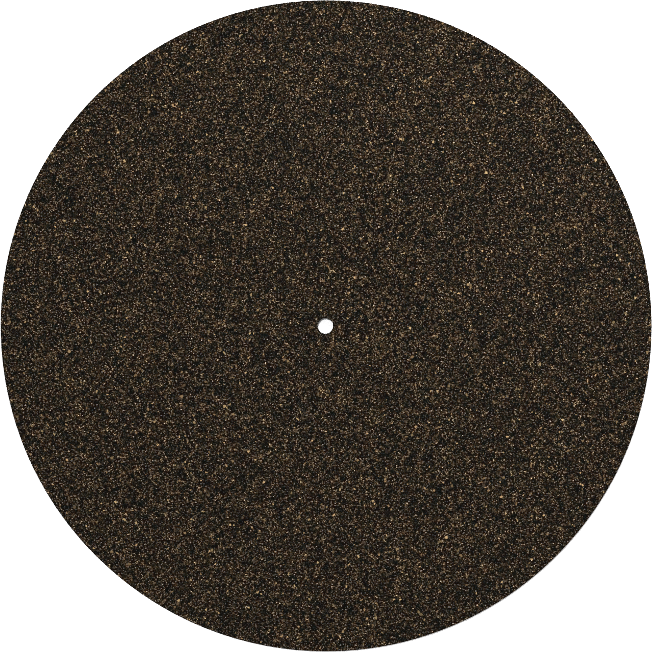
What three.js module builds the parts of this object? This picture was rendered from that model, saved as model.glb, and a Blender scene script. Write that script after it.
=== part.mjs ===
// Turntable platter mat: one flat round mat, die-cut from a single sheet of
// cork-and-rubber, with a plain round hole in the middle for the spindle.
//
// Units are millimetres and +Z is up. The origin is the centre of the spindle
// hole on the underside, so the mat lies on the plane z = 0 and the record
// rests on its top face.

import * as THREE from 'three';

// ---- driving dimensions (mm) ----
const MAT_DIAMETER = 300;          // across the rim: covers the platter under a 12-inch record
const MAT_THICKNESS = 3;           // sheet thickness
const SPINDLE_HOLE_DIAMETER = 7.2; // the same hole as a record's, over a 7.1 spindle
const RIM_EDGE_BREAK = 0.15;       // what the die rounds off both edges of the rim
const HOLE_EDGE_BREAK = 0.12;      // and off both edges of the hole
const SEGMENTS = 240;              // steps around the rim and the hole

// ---- what the dimensions give ----
const rimRadius = MAT_DIAMETER / 2;
const holeRadius = SPINDLE_HOLE_DIAMETER / 2;

// The mat's section, as (radius, height): out across the underside, up the
// rim, in across the top face and down the hole's wall. It closes on itself,
// so turning it about the axis gives one closed ring-shaped solid.
const section = [
  [holeRadius + HOLE_EDGE_BREAK, 0],
  [rimRadius - RIM_EDGE_BREAK, 0],
  [rimRadius, RIM_EDGE_BREAK],
  [rimRadius, MAT_THICKNESS - RIM_EDGE_BREAK],
  [rimRadius - RIM_EDGE_BREAK, MAT_THICKNESS],
  [holeRadius + HOLE_EDGE_BREAK, MAT_THICKNESS],
  [holeRadius, MAT_THICKNESS - HOLE_EDGE_BREAK],
  [holeRadius, HOLE_EDGE_BREAK],
  [holeRadius + HOLE_EDGE_BREAK, 0],
].map(([r, z]) => new THREE.Vector2(r, z));

// A lathe turns its section about +Y, so the geometry is stood up onto +Z.
const matGeometry = new THREE.LatheGeometry(section, SEGMENTS);
matGeometry.rotateX(Math.PI / 2);

// Near-black rubber, filled with fine tan cork granules: dull all over.
const corkRubber = new THREE.MeshStandardMaterial({
  name: 'cork_rubber',
  color: new THREE.Color().setRGB(0.046, 0.035, 0.024),
  roughness: 0.9,
  metalness: 0,
});

const platterMat = new THREE.Mesh(matGeometry, corkRubber);
platterMat.name = 'platter_mat';

const mat = new THREE.Group();
mat.name = 'turntable_platter_mat';
mat.add(platterMat);

export default mat;
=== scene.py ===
import math

import bpy
import numpy as np
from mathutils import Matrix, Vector


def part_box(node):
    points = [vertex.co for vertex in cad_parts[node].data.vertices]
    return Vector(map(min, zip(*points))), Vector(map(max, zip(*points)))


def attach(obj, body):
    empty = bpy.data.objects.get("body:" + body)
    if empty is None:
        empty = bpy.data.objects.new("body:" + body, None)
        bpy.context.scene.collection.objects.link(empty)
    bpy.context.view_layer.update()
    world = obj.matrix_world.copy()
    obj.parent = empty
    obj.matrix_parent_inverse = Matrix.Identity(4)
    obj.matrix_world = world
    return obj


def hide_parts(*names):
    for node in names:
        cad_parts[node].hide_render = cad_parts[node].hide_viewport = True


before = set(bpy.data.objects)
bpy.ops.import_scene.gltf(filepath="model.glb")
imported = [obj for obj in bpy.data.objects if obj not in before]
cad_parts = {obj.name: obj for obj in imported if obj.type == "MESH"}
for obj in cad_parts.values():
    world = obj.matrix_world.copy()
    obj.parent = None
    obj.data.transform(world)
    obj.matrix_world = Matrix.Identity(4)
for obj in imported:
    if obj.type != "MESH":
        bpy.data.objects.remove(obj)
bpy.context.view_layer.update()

# The mat is one piece of cork-and-rubber sheet: a flat disc with a punched
# spindle hole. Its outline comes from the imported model, and all that follows
# is in metres in the same frame, +Z up, the underside on z = 0.
low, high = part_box("platter_mat")
RIM = (high.x - low.x) / 2  # 150 mm
THICK = high.z - low.z  # 3 mm
HOLE = 0.0036  # the spindle hole's radius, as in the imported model
MM = 0.001
rng = np.random.default_rng(3007)


# ------------------------------------------------------------------ helpers
class Noise:
    """Gradient noise in three dimensions, about -1 to 1, the same on each run."""

    def __init__(self, seed):
        r = np.random.default_rng(seed)
        self.perm = np.tile(r.permutation(256), 3)
        g = r.normal(size=(256, 3))
        self.grad = g / np.linalg.norm(g, axis=1)[:, None]

    def __call__(self, p):
        cell = np.floor(p).astype(int)
        f = p - cell
        cell &= 255
        w = f * f * f * (f * (f * 6 - 15) + 10)
        total = np.zeros(len(p))
        for dx in (0, 1):
            for dy in (0, 1):
                for dz in (0, 1):
                    h = self.perm[
                        self.perm[self.perm[(cell[:, 0] + dx) & 255] + ((cell[:, 1] + dy) & 255)]
                        + ((cell[:, 2] + dz) & 255)
                    ]
                    d = f - (dx, dy, dz)
                    v = (self.grad[h] * d).sum(1)
                    wx = w[:, 0] if dx else 1 - w[:, 0]
                    wy = w[:, 1] if dy else 1 - w[:, 1]
                    wz = w[:, 2] if dz else 1 - w[:, 2]
                    total += v * wx * wy * wz
        return total * 1.6


grain = Noise(11)
pebble = Noise(12)
swell = Noise(13)


def pits(xy, seed, count, size, depth):
    """Shallow round hollows where granules have dropped out, as depths in metres at each point of xy (mm)."""
    r = np.random.default_rng(seed)
    rad = np.sqrt(r.random(count)) * (RIM / MM - 2)
    ang = r.random(count) * 2 * math.pi
    centre = np.stack([rad * np.cos(ang), rad * np.sin(ang)], 1)
    wide = r.uniform(*size, count) / 2
    deep = r.uniform(*depth, count)
    stretch = r.uniform(0.6, 1.0, count)
    turn = r.random(count) * math.pi
    # Points are sorted into 4 mm cells, so that each hollow only looks at those near it.
    cell = np.floor(xy / 4).astype(int)
    key = cell[:, 0] * 4096 + cell[:, 1]
    order = np.argsort(key, kind="stable")
    key_sorted = key[order]
    out = np.zeros(len(xy))
    for i in range(count):
        cx, cy = centre[i]
        near = []
        for gx in range(int(math.floor((cx - 2) / 4)), int(math.floor((cx + 2) / 4)) + 1):
            for gy in range(int(math.floor((cy - 2) / 4)), int(math.floor((cy + 2) / 4)) + 1):
                k = gx * 4096 + gy
                a, b = np.searchsorted(key_sorted, (k, k + 1))
                near.append(order[a:b])
        near = np.concatenate(near)
        if not len(near):
            continue
        d = xy[near] - centre[i]
        c, s = math.cos(turn[i]), math.sin(turn[i])
        u = (d[:, 0] * c + d[:, 1] * s) / wide[i]
        v = (-d[:, 0] * s + d[:, 1] * c) / (wide[i] * stretch[i])
        q = u * u + v * v
        out[near] = np.maximum(out[near], deep[i] * np.clip(1 - q / 1.6, 0, 1) ** 1.5)
    return out


# ------------------------------------------------------------------ the mesh
# The surface is one closed run of rings about the axis: out across the top
# face, over the cut rim, in across the underside and up the hole's wall. Each
# ring has its own number of points, and neighbouring rings are zipped
# together, so the points are about evenly spaced everywhere.
TOP_STEP = 1.15 * MM
UNDER_STEP = 2.2 * MM
RIM_POINTS = 1480
HOLE_POINTS = 72
PUNCH_LEAN = 0.05 * MM  # the punch went in a little slanted: the foot of the hole lies this far from its mouth,
PUNCH_WAY = math.radians(300)  # in this direction

rings = []  # (angles, radius, height, chart radius, kind)


def ring(count, radius, height, chart, kind, phase=None):
    start = rng.random() if phase is None else phase
    rings.append([(np.arange(count) + start) / count * 2 * math.pi, radius, height, chart, kind])


# mouth of the hole: a small rounded lip, then the top face
for r, z in ((0.0, -0.20), (0.03, -0.09), (0.10, -0.02), (0.22, 0.0)):
    ring(HOLE_POINTS, HOLE + r * MM, THICK + z * MM, HOLE + r * MM - (0.2 + z) * 0.0, "lip", 0.0)
r = HOLE + 0.22 * MM
steps = int(round((RIM - 1.6 * MM - r) / (TOP_STEP * 0.92)))
inner, outer = r, RIM - 1.6 * MM
for k in range(1, steps + 1):
    rk = inner + (outer - inner) * k / steps
    count = max(HOLE_POINTS, int(round(2 * math.pi * rk / TOP_STEP)))
    # the counts fall quickly near the hole, where the lip needs fine points
    count = max(count, int(HOLE_POINTS * max(0.5, 1 - 0.12 * k)))
    ring(count, rk, THICK, rk, "top")
ring(1040, RIM - 0.85 * MM, THICK, RIM - 0.85 * MM, "top")
# the cut rim: a rolled upper edge, a slightly hollow wall, a sharper foot
for k, (r, z) in enumerate(
    (
        (-0.38, 0.0),
        (-0.16, -0.012),
        (-0.05, -0.07),
        (0.0, -0.20),
        (0.0, -0.55),
        (-0.015, -1.05),
        (-0.025, -1.55),
        (-0.015, -2.05),
        (0.0, -2.50),
        (0.0, -2.86),
        (-0.05, -2.97),
        (-0.16, -3.0),
    )
):
    down = max(0.0, -z) * MM
    ring(RIM_POINTS, RIM + r * MM, THICK + z * MM, (RIM + r * MM if down < 0.015 * MM else RIM + down), "rim", (k % 2) * 0.5)
# the underside
ring(900, RIM - 0.9 * MM, 0, RIM - 0.9 * MM, "under")
ring(600, RIM - 2.2 * MM, 0, RIM - 2.2 * MM, "under")
outer, inner = RIM - 2.2 * MM, HOLE + 0.20 * MM
steps = int(round((outer - inner) / (UNDER_STEP * 0.92)))
for k in range(1, steps):
    rk = outer + (inner - outer) * k / steps
    ring(max(36, int(round(2 * math.pi * rk / UNDER_STEP))), rk, 0, rk, "under")
# the hole's wall, from its foot up to the lip
for r, z in ((0.20, 0.0), (0.06, 0.03), (0.0, 0.14), (-0.01, 0.5), (-0.015, 1.0), (-0.015, 1.6), (-0.01, 2.2), (0.0, 2.6)):
    ring(HOLE_POINTS, HOLE + r * MM, z * MM, HOLE - (THICK - z * MM) * 0.8, "wall", 0.0)

theta, radius, height, chart, kinds, starts = [], [], [], [], [], [0]
for a, r, z, c, kind in rings:
    n = len(a)
    a = a.copy()
    rr = np.full(n, r)
    if kind in ("top", "under") and r < RIM - 1.2 * MM and r > HOLE + 1.5 * MM:
        step = TOP_STEP if kind == "top" else UNDER_STEP
        a += rng.uniform(-0.24, 0.24, n) * step / r
        rr += rng.uniform(-0.24, 0.24, n) * step
    theta.append(a)
    radius.append(rr)
    height.append(np.full(n, z))
    chart.append(np.full(n, c) + (rr - r))
    kinds += [kind] * n
    starts.append(starts[-1] + n)
theta, radius, height, chart = map(np.concatenate, (theta, radius, height, chart))
kinds = np.array(kinds)
x, y = radius * np.cos(theta), radius * np.sin(theta)
flat_xy = np.stack([x, y], 1) / MM


# relief, all real geometry: a faint swell of the sheet, pebbling at the size
# of the coarse granules, hollows where some dropped out, and a crumbly rim
def at(scale, z):
    return np.stack([flat_xy[:, 0] / scale, flat_xy[:, 1] / scale, z / MM / scale], 1)


top = (kinds == "top") | (kinds == "lip")
under = kinds == "under"
rim = kinds == "rim"
wall = kinds == "wall"

relief = 0.030 * MM * swell(at(60.0, height)) + 0.018 * MM * pebble(at(3.1, height)) + 0.022 * MM * grain(at(1.7, height))
near_lip = np.clip((radius - HOLE) / (1.2 * MM), 0, 1)
near_rim = np.clip((RIM - 0.1 * MM - radius) / (1.5 * MM), 0, 1)
dents = pits(flat_xy, 21, 1500, (1.3, 2.6), (0.05 * MM, 0.13 * MM))
dents_under = pits(flat_xy, 22, 500, (2.0, 3.2), (0.04 * MM, 0.10 * MM))
z = height.copy()
z[top] += (relief * (0.35 + 0.65 * near_lip))[top] - (dents * near_lip * near_rim)[top]
z[under] = np.maximum(0.0, 0.035 * MM + 0.9 * relief[under]) + dents_under[under] * near_rim[under]
# the rim's wall: granules torn out or left standing by the cut, and faint
# upright marks of the blade
upright = np.stack([flat_xy[:, 0] / 0.9, flat_xy[:, 1] / 0.9, height / MM / 6.0], 1)
crumb = 0.030 * grain(at(1.05, height)) + 0.022 * pebble(at(2.3, height)) + 0.016 * swell(upright)
bits = np.clip(pebble(at(1.3, height) + 40.0) - 0.62, 0, 1) * 0.35
rr = radius.copy()
rr[rim] += (crumb - bits)[rim] * MM
z[rim] += (0.02 * MM * grain(at(1.2, height + 3 * MM)))[rim] * np.clip(height[rim] / THICK, 0, 1)
z[rim & (height < 0.05 * MM)] = np.maximum(z[rim & (height < 0.05 * MM)], 0)
# one crumb of rubber left standing on the edge
nib = math.radians(40.8)
off = (theta - nib + math.pi) % (2 * math.pi) - math.pi
rr[rim] += 0.26 * MM * np.exp(-((off[rim] * RIM / (0.55 * MM)) ** 2)) * np.exp(-(((height[rim] - 2.6 * MM) / (0.7 * MM)) ** 2))
# the hole
hole_part = wall | (kinds == "lip")
rr[hole_part] += (0.030 * grain(at(0.8, height) + 9.0) + 0.020 * pebble(at(1.7, height)))[hole_part] * MM
x, y = rr * np.cos(theta), rr * np.sin(theta)
lean = np.zeros(len(x))
lean[hole_part] = np.clip((THICK - height[hole_part]) / THICK, 0, 1)
foot = under & (radius < HOLE + 8 * MM)
lean[foot] = 1 - np.clip((radius[foot] - HOLE) / (8 * MM), 0, 1)
x += lean * PUNCH_LEAN * math.cos(PUNCH_WAY)
y += lean * PUNCH_LEAN * math.sin(PUNCH_WAY)
z[kinds == "wall"] = np.maximum(z[kinds == "wall"], 0.0)

faces, charts = [], []


def zip_rings(i, j, chart_of):
    """Triangles between rings i and j, with each step taken on the ring whose next point comes first."""
    a0, b0 = starts[i], starts[j]
    na, nb = starts[i + 1] - a0, starts[j + 1] - b0
    ta, tb = rings[i][0], rings[j][0]
    # both rings start at about the same angle
    shift = int(np.searchsorted(tb, ta[0])) % nb
    ia = ib = 0

    def angle_a(k):
        return ta[k % na] + 2 * math.pi * (k // na)

    def angle_b(k):
        k += shift
        return tb[k % nb] + 2 * math.pi * (k // nb)

    while ia < na or ib < nb:
        if ib >= nb or (ia < na and angle_a(ia + 1) <= angle_b(ib + 1)):
            faces.append((a0 + ia % na, b0 + (ib + shift) % nb, a0 + (ia + 1) % na))
            ia += 1
        else:
            faces.append((a0 + ia % na, b0 + (ib + shift) % nb, b0 + (ib + 1 + shift) % nb))
            ib += 1
        charts.append(chart_of)


CHART_TOP, CHART_UNDER = 0, 1
band_kind = []
for i in range(len(rings)):
    j = (i + 1) % len(rings)
    under_band = rings[j][4] == "under" or (rings[i][4] == "under")
    zip_rings(i, j, CHART_UNDER if under_band else CHART_TOP)
    # the cut faces, the rim with its rolled upper edge and the hole's wall, get the second material, a darker copy of
    # the face material: painted shade
    cut = rings[i][4] in ("rim", "wall") and rings[j][4] in ("rim", "wall", "lip")
    band_kind += [1 if cut else 0] * (len(faces) - len(band_kind))

faces = np.array(faces)
charts = np.array(charts)
points = np.stack([x, y, z], 1)
# outward faces
a, b, c = (points[faces[:, k]] for k in range(3))
if (np.einsum("ij,ij->i", a, np.cross(b, c))).sum() < 0:
    faces = faces[:, ::-1].copy()

mesh = bpy.data.meshes.new("platter_mat_cork_rubber")
mesh.vertices.add(len(points))
mesh.vertices.foreach_set("co", points.astype(np.float32).ravel())
mesh.loops.add(len(faces) * 3)
mesh.loops.foreach_set("vertex_index", faces.astype(np.int32).ravel())
mesh.polygons.add(len(faces))
mesh.polygons.foreach_set("loop_start", np.arange(0, len(faces) * 3, 3, dtype=np.int32))
mesh.polygons.foreach_set("loop_total", np.full(len(faces), 3, dtype=np.int32))
mesh.polygons.foreach_set("use_smooth", np.ones(len(faces), bool))
mesh.polygons.foreach_set("material_index", np.array(band_kind, np.int32))
mesh.update(calc_edges=True)
mesh.validate()

# A flat map of the surface: the top face with the rim unrolled round it and
# the hole's wall inside it, and a smaller one of the underside beside it.
TOP_WIDE, UNDER_WIDE, EDGE = 0.77, 0.38, 0.004
s_top = TOP_WIDE / 2 / (RIM + THICK + 0.2 * MM)
s_under = UNDER_WIDE / 2 / (RIM + 0.3 * MM)
c_top = EDGE + TOP_WIDE / 2
c_under = 1 - EDGE - UNDER_WIDE / 2
flat_top = np.stack([c_top + s_top * chart * np.cos(theta), c_top + s_top * chart * np.sin(theta)], 1)
flat_under = np.stack([c_under - s_under * x, c_under + s_under * y], 1)
corner = faces.ravel()
which = np.repeat(charts, 3)
uv = np.where((which == CHART_TOP)[:, None], flat_top[corner], flat_under[corner])
layer = mesh.uv_layers.new(name="OFBake", do_init=False)
layer.uv.foreach_set("vector", uv.astype(np.float32).ravel())

mat_piece = bpy.data.objects.new("cork_rubber_mat", mesh)
bpy.context.scene.collection.objects.link(mat_piece)


# ------------------------------------------------------------------ material
class Graph:
    """Short names for adding shader nodes."""

    def __init__(self, material):
        material.use_nodes = True
        self.tree = material.node_tree
        self.tree.nodes.clear()

    def add(self, kind, **props):
        node = self.tree.nodes.new(kind)
        for key, value in props.items():
            setattr(node, key, value)
        return node

    def put(self, socket, value):
        if isinstance(value, bpy.types.NodeSocket):
            self.tree.links.new(value, socket)
        elif value is not None:
            socket.default_value = value

    def math(self, op, a, b=None, c=None, clamp=False):
        n = self.add("ShaderNodeMath", operation=op, use_clamp=clamp)
        for i, v in enumerate((a, b, c)):
            if v is not None:
                self.put(n.inputs[i], v)
        return n.outputs[0]

    def vec(self, op, a, b=None, scale=None):
        n = self.add("ShaderNodeVectorMath", operation=op)
        self.put(n.inputs[0], a)
        if b is not None:
            self.put(n.inputs[1], b)
        if scale is not None:
            self.put(n.inputs["Scale"], scale)
        return n.outputs[0]

    def smooth(self, value, lo, hi, out_lo=0.0, out_hi=1.0):
        n = self.add("ShaderNodeMapRange", interpolation_type="SMOOTHSTEP")
        for name, v in (("Value", value), ("From Min", lo), ("From Max", hi), ("To Min", out_lo), ("To Max", out_hi)):
            self.put(n.inputs[name], v)
        return n.outputs["Result"]

    def ramp(self, value, stops, interpolation="LINEAR"):
        n = self.add("ShaderNodeValToRGB")
        n.color_ramp.interpolation = interpolation
        el = n.color_ramp.elements
        while len(el) < len(stops):
            el.new(0.5)
        for e, (pos, col) in zip(el, stops):
            e.position = pos
        for e, (pos, col) in zip(el, stops):
            col = (col, col, col) if np.isscalar(col) else col
            e.color = (*col, 1.0)
        self.put(n.inputs[0], value)
        return n.outputs["Color"]

    def mix(self, factor, a, b, blend="MIX"):
        n = self.add("ShaderNodeMix", data_type="RGBA", blend_type=blend)
        self.put(n.inputs[0], factor)
        for name, v in ((6, a), (7, b)):
            self.put(n.inputs[name], (*v, 1.0) if isinstance(v, tuple) and len(v) == 3 else v)
        return n.outputs[2]

    def noise(self, vector, scale, detail=2.0, rough=0.5):
        n = self.add("ShaderNodeTexNoise")
        self.put(n.inputs["Vector"], vector)
        self.put(n.inputs["Scale"], scale)
        self.put(n.inputs["Detail"], detail)
        self.put(n.inputs["Roughness"], rough)
        return n

    def blend(self, factor, a, b):
        n = self.add("ShaderNodeMix", data_type="FLOAT")
        for i, v in ((0, factor), (2, a), (3, b)):
            self.put(n.inputs[i], v)
        return n.outputs[0]

    def span(self, value, lo, hi):
        n = self.add("ShaderNodeMapRange", interpolation_type="LINEAR", clamp=True)
        for name, v in (("Value", value), ("From Min", lo), ("From Max", hi)):
            self.put(n.inputs[name], v)
        return n.outputs["Result"]

    def chip(self, vector, size, shift):
        """The first random number of the cell that chips() would give."""
        n = self.add("ShaderNodeTexVoronoi", voronoi_dimensions="3D", feature="F1")
        self.put(n.inputs["Vector"], self.vec("ADD", vector, shift))
        self.put(n.inputs["Scale"], 1.0 / size)
        self.put(n.inputs["Randomness"], 1.0)
        split = self.add("ShaderNodeSeparateColor")
        self.put(split.inputs[0], n.outputs["Color"])
        return split.outputs[0]

    def chips(self, vector, size, shift):
        """Random cells about size mm across: (their random colour, mm to the cell's edge)."""
        moved = self.vec("ADD", vector, shift)
        near = self.add("ShaderNodeTexVoronoi", voronoi_dimensions="3D", feature="F1")
        edge = self.add("ShaderNodeTexVoronoi", voronoi_dimensions="3D", feature="DISTANCE_TO_EDGE")
        for n in (near, edge):
            self.put(n.inputs["Vector"], moved)
            self.put(n.inputs["Scale"], 1.0 / size)
            self.put(n.inputs["Randomness"], 1.0)
        split = self.add("ShaderNodeSeparateColor")
        self.put(split.inputs[0], near.outputs["Color"])
        away = self.math("MULTIPLY", edge.outputs["Distance"], size)
        return split.outputs[0], split.outputs[1], split.outputs[2], away


def spread(knots, count):
    """Ramp stops along a curve given by a few knots, with straight lines in the logarithm between them."""
    at = np.interp(np.linspace(0, 1, count), np.linspace(0, 1, len(knots)), [k for k, v in knots])
    at = np.unique(np.round(np.concatenate([at, [k for k, v in knots]]), 5))
    value = np.exp(np.interp(at, [k for k, v in knots], np.log([v for k, v in knots])))
    return [(float(k), float(v)) for k, v in zip(at, value)]


# how bright each fine granule is, by its random number: most are rubber, few are pale cork
BRIGHTNESS = spread(
    [(0.0, 0.0008), (0.30, 0.0071), (0.50, 0.0166), (0.70, 0.0392), (0.85, 0.126), (0.94, 0.199), (0.985, 0.325), (1.0, 0.70)],
    22,
)
# how much each one counts towards the look of its neighbourhood
SHOWS = [(k, v**0.5) for k, v in BRIGHTNESS]
# the hue of the granules by how bright their neighbourhood is: brown to orange
# where cork lies close, and near neutral where the rubber covers more of it
WARMTH = [(0.00, (0.530, 0.630, 0.790)), (0.33, (0.800, 0.606, 0.250)), (0.67, (1.110, 0.525, 0.125)), (1.00, (1.100, 0.525, 0.175))]
# the palest ones are less yellow
PALEST = [(0.00, (0.650, 0.604, 0.700)), (1.00, (0.790, 0.600, 0.335))]
# the rubber between them, near black, browner where there is cork dust in it
BLACKS = [(0.00, (0.00105, 0.00134, 0.00080)), (0.50, (0.00304, 0.00082, 0.00004)), (1.00, (0.00304, 0.00082, 0.00004))]
# and from one clump to the next, from greener to rosier, cork and rubber alike
BLUSH = [(0.0, (0.955, 1.0135, 1.0)), (1.0, (1.045, 0.9865, 1.0))]
TINGE = [(0.0, (0.66, 1.34, 1.30)), (1.0, (1.34, 0.66, 0.70))]
# neighbours looked at, mm
AROUND = [(0.75 * math.cos(math.radians(a)), 0.75 * math.sin(math.radians(a)), 0.0) for a in range(15, 375, 60)]


def cork_rubber(name, seed, gain, film, roughness, specular, bump_up):
    m = bpy.data.materials.new(name)
    g = Graph(m)
    place = g.add("ShaderNodeTexCoord").outputs["Object"]
    p = g.vec("SCALE", place, scale=1000.0)
    wobble = g.vec("SUBTRACT", g.noise(p, 1.9, 2.0, 0.6).outputs["Color"], (0.5, 0.5, 0.5))
    p = g.vec("ADD", p, g.vec("SCALE", wobble, scale=0.42))

    # clumps about 1.4 mm across are a little lighter or darker, and here and there one is a whole granule of cork
    u2, own2, lift2, away2 = g.chips(p, 1.4, (11.3, 2.9, seed + 4.7))
    there2 = g.math("MULTIPLY", g.math("GREATER_THAN", lift2, 0.952), g.smooth(away2, 0.08, 0.20))
    light2 = g.ramp(u2, [(0.0, 0.021), (0.5, 0.058), (0.85, 0.210), (1.0, 0.500)])
    lighter = g.smooth(lift2, -0.4, 1.4, 0.60, 1.40)
    # and the sheet as a whole is a little uneven over a centimetre or two
    lighter = g.math("MULTIPLY", lighter, g.smooth(g.noise(p, 0.055, 1.0, 0.5).outputs["Fac"], 0.28, 0.72, 0.92, 1.08))

    # fine granules, tightly packed, with a thin skin of rubber round each one
    fine = (3.1, 7.7, seed)
    u, own, lift, away = g.chips(p, 0.48, fine)
    light = g.ramp(u, BRIGHTNESS)
    skin = g.smooth(away, film * 0.4, film * 1.5)
    light = g.math("MULTIPLY", light, skin)
    light = g.math("MULTIPLY", light, lighter)

    # and some twice their size
    u3, own3, lift3, away3 = g.chips(p, 0.90, (5.9, 13.1, seed + 9.2))
    there3 = g.math("MULTIPLY", g.math("GREATER_THAN", lift3, 0.950), g.smooth(away3, 0.05, 0.14))
    light3 = g.ramp(u3, [(0.0, 0.008), (0.5, 0.056), (0.85, 0.180), (1.0, 0.460)])

    cork = g.mix(there3, light, light3)
    cork = g.mix(there2, cork, light2)
    # pores and grime inside the granules
    pore = g.noise(p, 9.0, 3.0, 0.7)
    cork = g.mix(1.0, cork, g.smooth(pore.outputs["Fac"], 0.28, 0.72, 0.62, 1.34), "MULTIPLY")

    # how much cork shows within a millimetre or so
    near = g.math("MULTIPLY", g.ramp(u, SHOWS), 0.10)
    for step in AROUND:
        near = g.math("MULTIPLY_ADD", g.ramp(g.chip(g.vec("ADD", p, step), 0.48, fine), SHOWS), 0.90 / len(AROUND), near)
    near = g.math("MULTIPLY", near, g.math("SQRT", lighter))
    near = g.blend(there3, near, g.math("SQRT", light3))
    near = g.blend(there2, near, g.math("SQRT", light2))
    near = g.span(near, 0.0754, 0.3517)

    whole = g.math("SUBTRACT", 1.0, g.math("MAXIMUM", there2, there3))
    pale = g.blend(whole, 0.74, g.smooth(u, 0.55, 0.98, 0.0, 0.84))
    hue = g.mix(pale, g.ramp(near, WARMTH), g.ramp(near, PALEST))
    hue = g.mix(1.0, hue, g.ramp(own2, BLUSH), "MULTIPLY")
    cork = g.mix(1.0, cork, hue, "MULTIPLY")
    cork = g.mix(1.0, cork, gain, "MULTIPLY")
    rubber = g.mix(1.0, g.ramp(near, BLACKS), g.ramp(own2, TINGE), "MULTIPLY")
    colour = g.mix(1.0, cork, rubber, "ADD")

    # height: each fine granule a little proud or sunk, a groove at its skin, and fine grain
    tall = g.math("MULTIPLY", g.math("SUBTRACT", lift, 0.5), 1.3)
    tall = g.math("MULTIPLY", tall, skin)
    tall = g.math("ADD", tall, g.math("MULTIPLY", pore.outputs["Fac"], 0.7))
    bump = g.add("ShaderNodeBump")
    g.put(bump.inputs["Strength"], 1.0)
    g.put(bump.inputs["Distance"], bump_up)
    g.put(bump.inputs["Height"], tall)

    shader = g.add("ShaderNodeBsdfPrincipled")
    g.put(shader.inputs["Base Color"], colour)
    rough = g.smooth(light, 0.0, 0.12, roughness - 0.04, min(1.0, roughness + 0.05))
    g.put(shader.inputs["Roughness"], rough)
    g.put(shader.inputs["Specular IOR Level"], specular)
    g.put(shader.inputs["Normal"], bump.outputs["Normal"])
    out = g.add("ShaderNodeOutputMaterial")
    g.put(out.inputs["Surface"], shader.outputs[0])
    return m


face_material = cork_rubber("cork_rubber_face", 0.0, (0.843, 0.880, 0.882), 0.050, 0.93, 0.024, 0.00002)
# The cut faces take a darker copy of the face material: painted shade on the rim with its rolled upper edge and on the
# hole's wall.
cut_material_painted_shade = cork_rubber("cork_rubber_cut_painted_shade", 0.0, (0.64, 0.64, 0.64), 0.050, 0.88, 0.026, 0.00002)
mesh.materials.append(face_material)
mesh.materials.append(cut_material_painted_shade)

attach(mat_piece, "root")
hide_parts("platter_mat")

# ------------------------------------------------------------------ stage
floor_mesh = bpy.data.meshes.new("floor")
WIDE = 40.0
floor_mesh.from_pydata([(-WIDE, -WIDE, 0), (WIDE, -WIDE, 0), (WIDE, WIDE, 0), (-WIDE, WIDE, 0)], [], [(0, 1, 2, 3)])
floor_object = bpy.data.objects.new("floor", floor_mesh)
floor_object.location = (0, 0, -0.00002)
bpy.context.scene.collection.objects.link(floor_object)
white = bpy.data.materials.new("pale_floor")
g = Graph(white)
diffuse = g.add("ShaderNodeBsdfDiffuse")
g.put(diffuse.inputs["Color"], (0.94, 0.94, 0.94, 1.0))
out = g.add("ShaderNodeOutputMaterial")
g.put(out.inputs["Surface"], diffuse.outputs[0])
floor_mesh.materials.append(white)

# ------------------------------------------------------------------ light
world = bpy.data.worlds.new("studio")
bpy.context.scene.world = world
world.use_nodes = True
tree = world.node_tree
tree.nodes.clear()
wg = Graph.__new__(Graph)
wg.tree = tree
way = wg.add("ShaderNodeTexCoord").outputs["Generated"]
split = wg.add("ShaderNodeSeparateXYZ")
wg.put(split.inputs[0], way)
glow = wg.ramp(split.outputs[2], [(0.0, 1.05), (0.06, 1.0), (0.40, 0.42), (1.0, 0.38)])
back = wg.add("ShaderNodeBackground")
wg.put(back.inputs["Color"], glow)
wg.put(back.inputs["Strength"], 1.0)
wout = wg.add("ShaderNodeOutputWorld")
wg.put(wout.inputs["Surface"], back.outputs[0])


def lamp(name, kind, energy, location, target=(0, 0, 0), **props):
    data = bpy.data.lights.new(name, kind)
    data.energy = energy
    for key, value in props.items():
        setattr(data, key, value)
    o = bpy.data.objects.new(name, data)
    o.location = location
    o.rotation_mode = "QUATERNION"
    o.rotation_quaternion = (Vector(target) - Vector(location)).to_track_quat("-Z", "Y")
    bpy.context.scene.collection.objects.link(o)
    return o


def towards(azimuth, off_zenith, distance):
    a, t = math.radians(azimuth), math.radians(off_zenith)
    return distance * math.sin(t) * math.cos(a), distance * math.sin(t) * math.sin(a), distance * math.cos(t)


lamp("overhead", "AREA", 78.0, towards(120, 15, 3.0), shape="DISK", size=0.27)
lamp("softbox", "AREA", 1.65, towards(64, 54, 0.50), shape="DISK", size=0.25)
lamp("fill", "AREA", 408.0, towards(315, 72, 6.0), shape="DISK", size=1.2)

# ------------------------------------------------------------------ camera
# Down from high above the middle, and less than a degree off the upright. The
# frame's long side is 653 pixels of the 652 by 653.
LENS, SENSOR = 110.0, 36.0
camera_data = bpy.data.cameras.new("camera")
camera_data.lens = LENS
camera_data.sensor_width = SENSOR
camera = bpy.data.objects.new("camera", camera_data)
tilt = math.radians(0.93)
reach = LENS / SENSOR * 0.3008
camera.location = (0.00034 + reach * math.sin(tilt), -0.00032, THICK + reach * math.cos(tilt))
camera.rotation_euler = (0, tilt, 0)
bpy.context.scene.collection.objects.link(camera)
bpy.context.scene.camera = camera

scene = bpy.context.scene
scene.view_settings.view_transform = "Standard"
scene.view_settings.look = "None"
scene.view_settings.exposure = 0.0
scene.view_settings.gamma = 1.0
scene.cycles.filter_width = 0.88
scene.cycles.use_denoising = False
